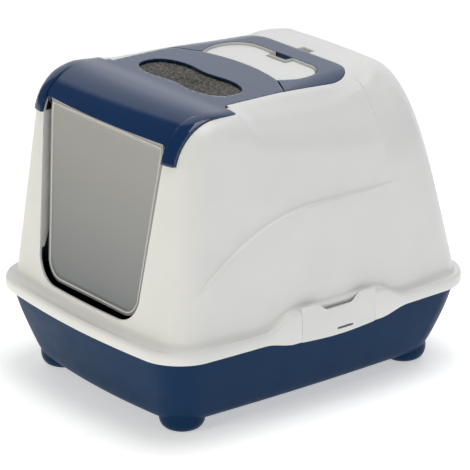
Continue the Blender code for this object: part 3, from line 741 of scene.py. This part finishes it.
def skin_rings(offset, heights, fan_base, elevations, per_corner, per_side):
    """Rings up the hood's skin: level ones first, then a fan up to the crown."""
    heading = headings(skirt_plan(per_corner, per_side))
    level = np.column_stack([heading, np.zeros(len(heading))])
    rings = []
    for height in heights:
        origin = np.tile((0.0, 0.0, height), (len(heading), 1))
        rings.append(cast(origin, level, offset))
    for degrees in elevations:
        angle = math.radians(degrees)
        upward = np.full(len(heading), math.sin(angle))
        direction = np.column_stack([heading * math.cos(angle), upward])
        origin = np.tile((0.0, 0.0, fan_base), (len(heading), 1))
        rings.append(cast(origin, direction, offset))
    return rings


def skin_body(name, offset, floor, per_corner=8, per_side=24, step=2.5):
    """A solid with the hood's outer shape, moved outward by an offset."""
    heights = np.arange(floor, FAN_BASE + 0.001, 0.02)
    elevations = np.arange(step, 88.0, step)
    rings = skin_rings(offset, heights, FAN_BASE, elevations, per_corner, per_side)
    return loft(name, rings, cap_start=True, cap_end=True)


def fine_skin(name, offset, floor):
    """A skin solid with closer rings, for surfaces that show."""
    heights = np.arange(floor, FAN_BASE + 0.001, 0.01)
    elevations = np.arange(FAN_STEP, 88.0, FAN_STEP)
    rings = skin_rings(offset, heights, FAN_BASE, elevations, 10, 60)
    return loft(name, rings, cap_start=True, cap_end=True)


# ---------------------------------------------------------------- outlines

def arc(centre, radius, start, end, count):
    """Points along an arc, in degrees."""
    points = []
    for i in range(count + 1):
        angle = math.radians(start + (end - start) * i / count)
        points.append((centre[0] + radius * math.cos(angle),
                       centre[1] + radius * math.sin(angle)))
    return points


def lid_outline(grow):
    """The lid seen from above, grown outward."""
    front = -0.30
    step = LID_STEP_Y + grow
    side = LID_REAR_HALF + grow
    corner_x, corner_y = LID_CORNER
    right = [(LID_FRONT_HALF + grow, front), (LID_FRONT_HALF + grow, step - 0.006)]
    right += arc((LID_FRONT_HALF + grow - 0.004, step - 0.004), 0.004, 0, 90, 6)
    right += [(side + 0.006, step), (side, step + 0.007), (side, corner_y + grow * 0.5)]
    rear_side = LID_REAR_Y - LID_REAR_CURVE * corner_x ** 2
    right += [(corner_x + grow * 0.5, rear_side + grow)]
    tongue = []
    count = 24
    for i in range(1, count):
        x = corner_x * (1 - 2 * i / count)
        tongue.append((x, LID_REAR_Y - LID_REAR_CURVE * x * x + grow))
    left = [(-x, y) for x, y in reversed(right)]
    return right + tongue + left


def handle_outline(grow, bite=0.0):
    """The U of the handle seen from above, with its two ends cut beside the lid."""
    outer_half = HANDLE_HALF + grow
    outer_rear = HANDLE_REAR + grow
    inner_half = GRIP_HALF - grow
    inner_rear = GRIP_REAR - grow
    corner_x, corner_y = LID_CORNER
    end = 0.0012
    round_out = HANDLE_ROUND + grow
    round_in = GRIP_ROUND - grow
    points = [(outer_half, corner_y + end + 0.0005 - bite)]
    points += arc((outer_half - round_out, outer_rear - round_out), round_out, 0, 90, 20)
    left = [(-x, y) for x, y in reversed(points)]
    rear_side = LID_REAR_Y - LID_REAR_CURVE * corner_x ** 2
    inner = [(-corner_x - 0.001 + grow, rear_side + end + 0.001 - bite)]
    if bite:
        inner += [(-corner_x - 0.001 + grow, rear_side + end + 0.001)]
    inner += [(-inner_half + 0.0045, 0.022), (-inner_half + 0.0012, 0.029), (-inner_half, 0.036)]
    inner += arc((-inner_half + round_in, inner_rear - round_in), round_in, 180, 90, 16)
    inner += [(-x, y) for x, y in reversed(inner)]
    return points + left + inner


def peanut_outline(grow, count=96):
    """The filter's outline: a long oval with a waist."""
    points = []
    for i in range(count):
        angle = 2 * math.pi * i / count
        cosine = math.cos(angle)
        sine = math.sin(angle)
        x = (FILTER_HALF_X + grow) * math.copysign(abs(cosine) ** 0.78, cosine)
        waist = 1 - FILTER_WAIST * math.exp(-(x / FILTER_WAIST_RUN) ** 2)
        y = (FILTER_HALF_Y * waist + grow) * math.copysign(abs(sine) ** 0.78, sine)
        points.append((x, FILTER_CENTRE_Y + y))
    return points


def opening_outline(inset, low, radius, high):
    """The door opening seen from the front: a tapered U, closed at the height high."""
    def half(z):
        return OPEN_TOP_HALF - OPEN_TAPER * (OPEN_TOP_Z - min(z, OPEN_TOP_Z)) - inset
    centre_z = low + radius
    bottom = half(centre_z)
    right = [(half(high), high), (half(min(high, OPEN_TOP_Z) - 0.001), min(high, OPEN_TOP_Z) - 0.001)]
    right += arc((bottom - radius, centre_z), radius, 0, -90, 16)
    left = [(-x, z) for x, z in reversed(right)]
    return right + left


# ---------------------------------------------------------------- hood

def outer_hood():
    """The hood's outside, skirt included, as one closed solid."""
    plan = skirt_plan(PER_CORNER, PER_SIDE)
    heading = headings(plan)
    swelling = swell(plan)
    top = RIM_TOP + SWELL_TOP * swelling
    low = RIM_LOW - SWELL_LOW * swelling
    level = np.column_stack([heading, np.zeros(len(plan))])
    wall_z = top + 0.0035
    origin = np.column_stack([np.zeros((len(plan), 2)), wall_z])
    wall = cast(origin, level, hood_detail)
    rings = [np.column_stack([plan - heading * 0.0006, low]),
             np.column_stack([plan, low + 0.0010]),
             np.column_stack([plan, top - RIM_EDGE_DROP])]
    for degrees in (15, 32, 50, 68):
        angle = math.radians(degrees)
        pull = RIM_EDGE_IN * (1 - math.cos(angle))
        rise = RIM_EDGE_UP * math.sin(angle)
        rings.append(np.column_stack([plan - heading * pull, top - RIM_EDGE_DROP + rise]))
    shelf = plan - heading * 0.0040
    for share in (0.12, 0.30, 0.50, 0.70, 0.86):
        cove = COVE_DEPTH * (1 - swelling) * math.sin(math.pi * min(share / 0.8, 1.0))
        level_z = top - 0.0006 - cove + 0.0030 * share ** 4
        rings.append(np.column_stack([shelf * (1 - share) + wall[:, :2] * share, level_z]))
    rings.append(wall)
    count = 5
    for i in range(1, count):
        z = wall_z + (WALL_BASE_RING - wall_z) * i / count
        origin = np.column_stack([np.zeros((len(plan), 2)), z])
        rings.append(cast(origin, level, hood_detail))
    rings += crease_rings(level)
    elevations = np.arange(FAN_STEP, 88.5, FAN_STEP)
    rings += skin_rings(hood_detail, [], FAN_BASE, elevations, PER_CORNER, PER_SIDE)
    return loft("hood_outside", rings, cap_start=True, cap_end=True)


def bent_ring(level, place):
    """A ring round the wall whose height depends on the height of the crease beside it."""
    y = np.zeros(len(level))
    for _ in range(3):
        origin = np.zeros((len(level), 3))
        origin[:, 2] = place(np.maximum(crease_height(y), CREASE_LOWEST))
        ring = cast(origin, level, hood_detail)
        y = ring[:, 1]
    return ring


def crease_rings(level):
    """Rings up the wall that bend to run along the crease and crowd together at its edge."""
    rings = []
    below = int(0.070 / LEVEL_STEP)
    above = int(0.045 / LEVEL_STEP)
    edge = EDGE_STEPS[-1]
    for i in range(below):
        rings.append(bent_ring(
            level, lambda c, t=i / below: WALL_BASE_RING + (c - edge - WALL_BASE_RING) * t))
    for step in EDGE_STEPS:
        rings.append(bent_ring(level, lambda c, s=step: c + s))
    for i in range(1, above + 1):
        rings.append(bent_ring(
            level, lambda c, t=i / above: c + edge + (FAN_BASE - c - edge) * t))
    return rings


def inner_hood():
    """The room inside the hood, from below the skirt up to the underside of the deck."""
    plan = skirt_plan(8, 60, inset=HOOD_WALL)
    heading = headings(plan)
    swelling = swell(plan)
    top = RIM_TOP + SWELL_TOP * swelling - HOOD_WALL
    level = np.column_stack([heading, np.zeros(len(plan))])
    wall_z = top - 0.0010
    origin = np.column_stack([np.zeros((len(plan), 2)), wall_z])
    wall = cast(origin, level, flat_offset(-HOOD_WALL))
    rings = [np.column_stack([plan, np.full(len(plan), 0.09)]),
             np.column_stack([plan, top - 0.0060]),
             np.column_stack([plan - heading * 0.0022, top - 0.0012]), wall]
    heights = np.arange(0.150, FAN_BASE + 0.001, 0.0125)
    elevations = np.arange(2.5, 88.0, 2.5)
    rings += skin_rings(flat_offset(-HOOD_WALL), heights, FAN_BASE, elevations, 8, 60)
    return loft("hood_room", rings, cap_start=True, cap_end=True)


def keep_front(item, name):
    """Keep what lies in front of the lid seat."""
    return combine(item, box(name, (-0.3, -0.3, 0.2), (0.3, SEAT_FRONT, 0.5)), "INTERSECT")


def keep_rear(item, name):
    """Keep what lies behind the front of the lid seat."""
    return combine(item, box(name, (-0.3, SEAT_FRONT - 0.001, 0.2), (0.3, 0.3, 0.5)), "INTERSECT")


def handle_space():
    """The U-shaped well, its open ends and the finger notch."""
    space = handle_outline(GAP + 0.0004, bite=0.004)
    room = prism("space", space, POCKET_FLOOR, ABOVE)
    notch_y = GRIP_REAR - NOTCH_DEPTH
    low = (-NOTCH_HALF, notch_y, POCKET_FLOOR)
    combine(room, box("notch", low, (NOTCH_HALF, GRIP_REAR + 0.005, ABOVE)), "UNION")
    for side in (-1, 1):
        low = (LID_CORNER[0] - 0.0025, -0.0200, 0.3300)
        ends = mirrored_box("ends", low, (HANDLE_HALF + GAP, POCKET_FRONT, ISLAND_LOW), side)
        combine(room, ends, "UNION")
    half, rear, floor = REAR_NOTCH
    pocket = box("rear_pocket", (-half, HANDLE_REAR - 0.005, floor), (half, rear, ABOVE))
    return combine(room, pocket, "UNION")


def hood_cutter():
    """Everything that is hollow in the hood, as one solid."""
    tool = inner_hood()
    floor_low = POCKET_FLOOR - 0.0025
    well = prism("well", handle_outline(0.0030), floor_low, ABOVE)
    combine(well, prism("lid_side", lid_outline(GAP), 0.30, ABOVE + 0.01), "DIFFERENCE")
    notch_y = GRIP_REAR - NOTCH_DEPTH
    low = (-NOTCH_HALF - 0.003, notch_y - 0.003, floor_low)
    combine(well, box("notch_wall", low, (NOTCH_HALF + 0.003, GRIP_REAR, ABOVE)), "UNION")
    combine(tool, well, "DIFFERENCE")
    half, rear, floor = REAR_NOTCH
    low = (-half - 0.003, HANDLE_REAR - 0.005, floor - 0.0025)
    combine(tool, box("rear_wall", low, (half + 0.003, rear + 0.003, ABOVE)), "DIFFERENCE")
    for side in (-1, 1):
        low = (0.1142, LID_AXIS[0] - 0.0050, 0.3767)
        boss = mirrored_box("boss", low, (0.1188, HANDLE_AXIS[0] + 0.0050, ABOVE), side)
        combine(tool, boss, "DIFFERENCE")
    combine(tool, handle_space(), "UNION")
    for side in (-1, 1):
        combine(tool, flange(side), "DIFFERENCE")
    doorway = prism("doorway", opening_outline(0.0, OPEN_LOW, OPEN_ROUND, ABOVE), -0.30, -0.100, axis="Y")
    combine(tool, doorway, "UNION")
    combine(tool, keep_rear(prism("under_lid", lid_outline(GAP), 0.30, ABOVE), "rear_part"), "UNION")
    recess = keep_front(prism("lid_recess", lid_outline(GAP), LID_TIP_Z - GAP, ABOVE), "front_part")
    combine(recess, skin_body("recess_low", lid_offset(-LID_THICK - GAP), 0.100), "DIFFERENCE")
    combine(tool, recess, "UNION")
    for side in (-1, 1):
        cut_side_features(tool, side)
    return tool


def flange(side):
    """A flange that lines one side of the door opening."""
    inner = opening_outline(0.0, OPEN_LOW, OPEN_ROUND, OPEN_TOP_Z)
    outer = opening_outline(-REVEAL_WALL, OPEN_LOW - REVEAL_WALL, OPEN_ROUND + REVEAL_WALL, OPEN_TOP_Z)
    strip_in = [point for point in inner if side * point[0] > 0 and point[1] > REVEAL_LOW]
    strip_out = [point for point in outer if side * point[0] > 0 and point[1] > REVEAL_LOW]
    strip = strip_in + list(reversed(strip_out))
    item = prism("flange", strip, -0.26, -0.15, axis="Y")
    ends = [[(x, y, z) for y, z in REVEAL_SLOPE] for x in (-0.2, 0.2)]
    combine(item, loft("flange_end", ends, cap_start=True, cap_end=True), "DIFFERENCE")
    combine(item, skin_body("flange_front", flat_offset(-0.0012), 0.105), "INTERSECT")
    return combine(item, skin_body("flange_back", flat_offset(-REVEAL_DEPTH), 0.100), "DIFFERENCE")


def cut_side_features(tool, side):
    """The seat beside the lid, the hinge sockets and the window for a clip."""
    inner = LID_REAR_HALF - LEDGE_REACH
    outer = LID_REAR_HALF + 0.0030
    edge = LID_REAR_HALF + GAP + 0.0001
    low = SEAT_Z - 0.0025
    combine(tool, mirrored_box("ledge", (inner, SEAT_FRONT, low), (outer, SEAT_REAR, SEAT_Z), side),
            "DIFFERENCE")
    combine(tool, mirrored_box("riser", (edge, SEAT_FRONT, low), (outer, SEAT_REAR, WALL_MID), side),
            "DIFFERENCE")
    for y, z in (HANDLE_AXIS, LID_AXIS):
        combine(tool, rod("socket", PIN_RADIUS + GAP, side * 0.1120, side * 0.1168, y, z), "UNION")
    low_y = CLIP_Y - CLIP_HALF - GAP
    high_y = CLIP_Y + CLIP_HALF + GAP
    window = mirrored_box("window", (0.1898, low_y, 0.08), (0.2100, high_y, 0.1442), side)
    combine(tool, window, "UNION")
    plate = mirrored_box("plate", (0.1866, low_y - 0.003, 0.1200), (0.1890, high_y + 0.003, 0.1450), side)
    combine(tool, plate, "DIFFERENCE")


def make_hood(material):
    """The white cover."""
    hood = combine(outer_hood(), hood_cutter(), "DIFFERENCE")
    soften(hood, 0.0007, angle=42)
    finish(hood, "hood_shell", material, "hood", ["hood"])


# ---------------------------------------------------------------- tray

TRAY_PROFILE = ((0.1425, 0.1985, TRAY_FLOOR), (0.1525, 0.2080, 0.0165), (0.1600, 0.2145, 0.0255),
                (0.1690, 0.2220, 0.0480), (0.1780, 0.2310, 0.0780), (0.1857, 0.2385, 0.1105))


def curve_through(points, count):
    """A smooth run of points through the given ones."""
    points = np.array(points)
    padded = np.vstack([2 * points[0] - points[1], points, 2 * points[-1] - points[-2]])
    run = []
    for i in range(len(points) - 1):
        a, b, c, d = padded[i:i + 4]
        for k in range(count):
            t = k / count
            run.append(0.5 * (2 * b + (c - a) * t + (2 * a - 5 * b + 4 * c - d) * t ** 2
                              + (3 * b - a - 3 * c + d) * t ** 3))
    run.append(points[-1])
    return run


def tray_rings(inset):
    """Rings up the tray's outside, or up its room when inset."""
    rings = []
    half_x, half_y, top = TRAY_TOP
    levels = [tuple(level) for level in curve_through(TRAY_PROFILE, 5)]
    if inset == 0:
        levels += [(half_x + 0.0006, half_y + 0.0006, top - 0.0015),
                   (half_x + TRAY_LIP - 0.0006, half_y + TRAY_LIP - 0.0006, top - 0.0012),
                   (half_x + TRAY_LIP, half_y + TRAY_LIP, top)]
    else:
        levels += [(half_x, half_y, top + 0.004)]
    for a, b, z in levels:
        lift = TRAY_WALL * (1 - smooth((z - TRAY_FLOOR) / 0.02)) if inset else 0.0
        plan = rim_outline(a - inset, b - inset, TRAY_ROUND, 0.005, 0.011, 16, 16)
        rings.append([(x, y, z + float(lift)) for x, y in plan])
    return rings


def foot(sx, sy):
    """A rounded foot that grows out of a corner of the tray."""
    profile = [(0.40, 0.0), (0.55, 0.0004), (0.68, 0.0014), (0.80, 0.0033), (0.89, 0.0060),
               (0.955, 0.0095), (0.99, 0.0135), (1.0, 0.0180), (0.98, 0.0260), (0.90, 0.0400)]
    rings = []
    count = 48
    for share, z in profile:
        ring = []
        for i in range(count):
            angle = 2 * math.pi * i / count
            ring.append((sx * FOOT[0] + share * FOOT_RADIUS * math.cos(angle),
                         sy * FOOT[1] + share * FOOT_RADIUS * math.sin(angle), z))
        rings.append(ring)
    return loft("foot", rings, cap_start=True, cap_end=True)


def make_tray(material):
    """The lower tray with its four feet."""
    tray = loft("tray_outside", tray_rings(0.0), cap_start=True, cap_end=True)
    for sx in (-1, 1):
        for sy in (-1, 1):
            combine(tray, foot(sx, sy), "UNION")
    combine(tray, loft("tray_room", tray_rings(TRAY_WALL), cap_start=True, cap_end=True), "DIFFERENCE")
    soften(tray, 0.0007, angle=35)
    finish(tray, "tray_shell", material, "tray", ["tray"])


# ---------------------------------------------------------------- lid, handle and door

def lid_blank(half, top):
    """The part of the lid's plan within a half width, under the given skin."""
    blank = prism("lid_blank", lid_outline(0.0), 0.30, ABOVE)
    if half:
        middle = box("lid_middle", (-half, -0.4, 0.2), (half, 0.4, 0.5))
        combine(blank, middle, "DIFFERENCE")
    return combine(blank, top, "INTERSECT")


def make_lid(material):
    """The lid with its two arms, the filter window and the hinge lugs."""
    lid = lid_blank(None, fine_skin("lid_top", lid_offset(0.0), 0.105))
    combine(lid, lid_blank(LID_ARM_INNER + 0.0012, fine_skin("arm_top", arm_offset, 0.105)), "UNION")
    combine(lid, skin_body("lid_low", lid_offset(-LID_THICK), 0.100), "DIFFERENCE")
    combine(lid, box("below_arms", (-0.3, -0.3, 0.25), (0.3, 0.3, LID_TIP_Z)), "DIFFERENCE")
    half = LID_ARM_INNER
    combine(lid, box("below_lip", (-half, -0.3, 0.25), (half, 0.3, LID_LIP_Z)), "DIFFERENCE")
    combine(lid, prism("window", peanut_outline(0.0), 0.36, 0.40), "DIFFERENCE")
    for side in (-1, 1):
        add_lid_lugs(lid, side)
    soften(lid, 0.0006, angle=38)
    finish(lid, "lid_shell", material, "lid", ["flip_lid"])


def add_lid_lugs(lid, side):
    """Hinge lug at the rear corner and a socket lug for the door in front."""
    y, z = LID_AXIS
    lug = mirrored_box("lug", (0.1085, y - 0.0028, z - 0.0028), (0.1126, y + 0.0020, 0.3866), side)
    combine(lid, lug, "UNION")
    combine(lid, rod("pin", PIN_RADIUS, side * 0.1115, side * 0.1160, y, z), "UNION")
    y, z = DOOR_AXIS
    cheek = mirrored_box("cheek", (0.1148, y - 0.0042, z - 0.0042), (0.1190, y + 0.0080, z + 0.024), side)
    combine(cheek, skin_body("cheek_top", lid_offset(-0.001), 0.105), "INTERSECT")
    combine(lid, cheek, "UNION")
    combine(lid, rod("hole", PIN_RADIUS + GAP, side * 0.1140, side * 0.1178, y, z), "DIFFERENCE")


def make_handle(material):
    """The U-shaped handle with its hinge pins."""
    handle = prism("handle_blank", handle_outline(0.0), 0.34, ABOVE)
    combine(handle, fine_skin("handle_top", flat_offset(0.0), 0.105), "INTERSECT")
    combine(handle, skin_body("handle_low", flat_offset(-HANDLE_DEPTH), 0.100), "DIFFERENCE")
    y, z = HANDLE_AXIS
    for side in (-1, 1):
        combine(handle, rod("handle_pin", PIN_RADIUS, side * 0.1105, side * 0.1160, y, z), "UNION")
    soften(handle, 0.0012, angle=38, segments=3)
    finish(handle, "handle_grip", material, "handle", ["handle"])


def door_face(z):
    """Front face of the door at its middle."""
    return -(FRONT_Y - FRONT_LEAN * (z - WALL_BASE)) + DOOR_RECESS


def door_ring(inset, forward):
    """The door's outline, drawn in by an inset and moved out from its face."""
    outline = opening_outline(DOOR_INSET + inset, DOOR_LOW + inset, max(DOOR_ROUND - inset, 0.008),
                              DOOR_AXIS[1] - inset)
    return [(x, door_face(z) - forward, z) for x, z in outline]


def make_door(material):
    """A flat panel inside a raised border with bevelled edges."""
    border = DOOR_BORDER
    back = -DOOR_THICK
    rings = [door_ring(border + 0.002, back + 0.0004), door_ring(border, back),
             door_ring(0.0007, back), door_ring(0.0, back + 0.0006), door_ring(0.0, -0.0004),
             door_ring(0.0003, 0.0001), door_ring(0.0012, 0.0003), door_ring(0.0058, 0.0002),
             door_ring(0.0066, -0.0001), door_ring(border + 0.0006, -0.0007),
             door_ring(border + 0.0016, -0.0008)]
    panel = loft("door_panel", rings, cap_start=True, cap_end=True)
    y, z = DOOR_AXIS
    width = OPEN_TOP_HALF - DOOR_INSET
    combine(panel, rod("knuckle", DOOR_KNUCKLE, -width, width, y, z), "UNION")
    combine(panel, rod("door_pins", PIN_RADIUS, -width - 0.0036, width + 0.0036, y, z), "UNION")
    finish(panel, "door_panel", material, "door", ["swing_door"], crease=9)


def make_door_bead(material):
    """A raised bead that runs around the door a little inside its edge, coloured pale as a painted
    highlight line.
    """
    profile = ((0.0030, -0.0004), (0.0031, 0.0005), (0.0035, 0.0009), (0.0041, 0.0010),
               (0.0047, 0.0008), (0.0051, 0.0003), (0.0052, -0.0004), (0.0030, -0.0004))
    bead = loft("door_bead", [door_ring(inset, forward) for inset, forward in profile])
    weld(bead.data)
    finish(bead, "door_bead", material, "door", ["swing_door"], crease=60)


# ---------------------------------------------------------------- clips and filter

def side_x(y):
    """Half width of the skirt at a place along the side."""
    return RIM_HALF_X - RIM_BOW_X * (y / RIM_HALF_Y) ** 2


def clip_top(y):
    """Upper edge of a clip: two ears with a finger dip between them."""
    t = (y - CLIP_Y) / CLIP_HALF
    dip = smooth((0.62 - abs(t - 0.02)) / 0.30)
    return CLIP_TOP - CLIP_DIP * float(dip)


def make_clip(side, name, material):
    """A clip plate that follows the skirt, with a slot in it."""
    rows = 14
    stations = np.linspace(CLIP_Y - CLIP_HALF, CLIP_Y + CLIP_HALF, 61)
    rings = []
    for i in range(rows + 1):
        t = i / rows
        ring = []
        for y in stations:
            low = CLIP_LOW - 0.0030 * math.cos((y - CLIP_Y) / CLIP_HALF * math.pi / 2)
            z = low + (clip_top(y) - low) * t
            bulge = 0.0006 * math.sin(math.pi * t)
            ring.append((side * (side_x(y) - 0.0003 + bulge), y, z))
        rings.append(ring if side > 0 else list(reversed(ring)))
    plate = loft("clip_plate", rings, closed=False)
    face_out = sum(face.normal.x for face in plate.data.polygons) * side > 0
    if not face_out:
        plate.data.flip_normals()
    clip = thicken(plate, CLIP_THICK)
    slot = mirrored_box("slot", (0.180, CLIP_Y - 0.002, 0.1030), (0.210, CLIP_Y + 0.022, 0.1060), side)
    combine(clip, slot, "DIFFERENCE")
    soften(clip, 0.0008, angle=40, segments=3)
    body = "left_clip" if side < 0 else "right_clip"
    finish(clip, name + "_plate", material, body, [name])


def make_filter(material):
    """A foam pad with a rounded edge and an uneven top."""
    rings = [[(x, y, FILTER_LOW) for x, y in peanut_outline(0.0020)],
             [(x, y, FILTER_LOW + 0.0006) for x, y in peanut_outline(0.0025)],
             [(x, y, FILTER_TOP - 0.0010) for x, y in peanut_outline(0.0025)]]
    generator = np.random.default_rng(7)
    shares = np.linspace(1.0, 0.04, 30)
    for share in shares:
        ring = []
        for x, y in peanut_outline(0.0022):
            height = FILTER_TOP - 0.0007 * abs(generator.normal())
            ring.append((x * share, FILTER_CENTRE_Y + (y - FILTER_CENTRE_Y) * share, height))
        rings.append(ring)
    pad = loft("foam_pad", rings, cap_start=True, cap_end=True)
    finish(pad, "foam_pad", material, "filter_cartridge", ["carbon_filter"], crease=80)


def paint_holder(material):
    """The filter holder keeps its own shape and takes the tray plastic."""
    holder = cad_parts["filter_holder"]
    for slot in holder.material_slots:
        slot.material = material


bpy.context.scene.view_settings.view_transform = "Standard"
place_camera()
light_studio()
make_backdrop()
make_floor()
hood_plastic = moulded_plastic("white_plastic", (0.80, 0.80, 0.785), (0.775, 0.775, 0.765), 0.34, 0.12)
lid_plastic = moulded_plastic("navy_gloss", (0.005, 0.030, 0.104), (0.004, 0.026, 0.094), 0.07, 0.03,
                              specular=0.42, coat=0.2)
tray_plastic = moulded_plastic("navy_satin", (0.004, 0.030, 0.088), (0.003, 0.027, 0.080), 0.38, 0.20,
                               specular=0.09)
make_hood(hood_plastic)
make_tray(tray_plastic)
make_lid(lid_plastic)
make_handle(lid_plastic)
make_door(door_plastic())
# The bead's pale colour is a painted highlight along the door's border
make_door_bead(moulded_plastic("bead_painted_highlight", (0.68, 0.68, 0.66), (0.64, 0.64, 0.63), 0.25, 0.05))
make_clip(-1, "clip_left", hood_plastic)
make_clip(1, "clip_right", hood_plastic)
make_filter(foam_material())
paint_holder(tray_plastic)
